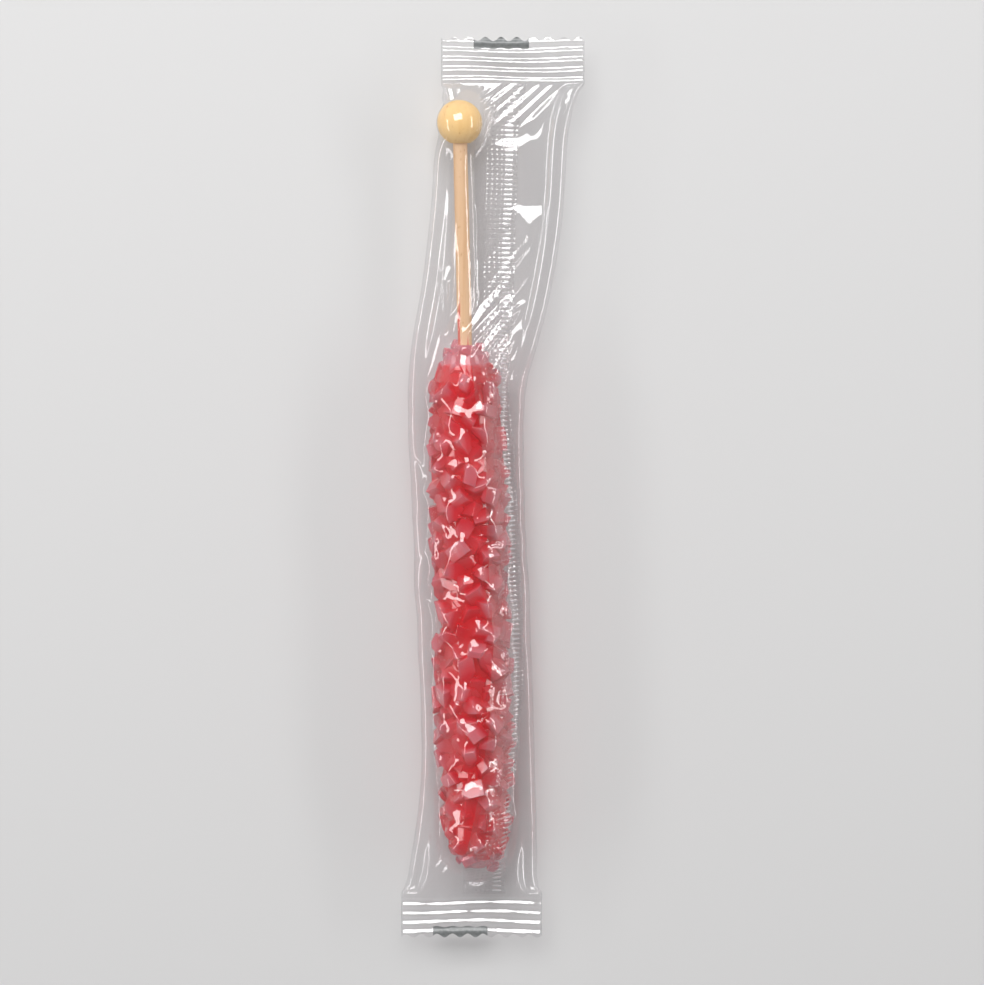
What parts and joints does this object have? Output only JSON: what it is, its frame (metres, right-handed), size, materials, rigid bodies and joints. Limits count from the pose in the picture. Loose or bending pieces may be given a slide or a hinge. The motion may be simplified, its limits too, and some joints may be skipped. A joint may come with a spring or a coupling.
{
  "type": "rock candy stick",
  "caption": "Red rock candy crystals grown on a wooden stick with a round wooden ball at its end, sealed in a clear film sleeve with ribbed, toothed crimps and a seam along it.",
  "frame": {"origin": "on the ground under the middle of the sleeve's box", "axes": "+Y along the stick from the candy's end to the ball's end, +Z up from the ground, +X to the right when seen from above with +Y up"},
  "size_m": [0.04, 0.1978, 0.0189],
  "materials": {
    "film": "thin clear glossy film",
    "candy": "clear red sugar crystals with flat glossy faces",
    "wood": "smooth pale wood with fine grain",
    "print": "plain dark mark printed on the film"
  },
  "bodies": {
    "root": {"wrapped_candy_stick": "film"}
  },
  "joints": []
}
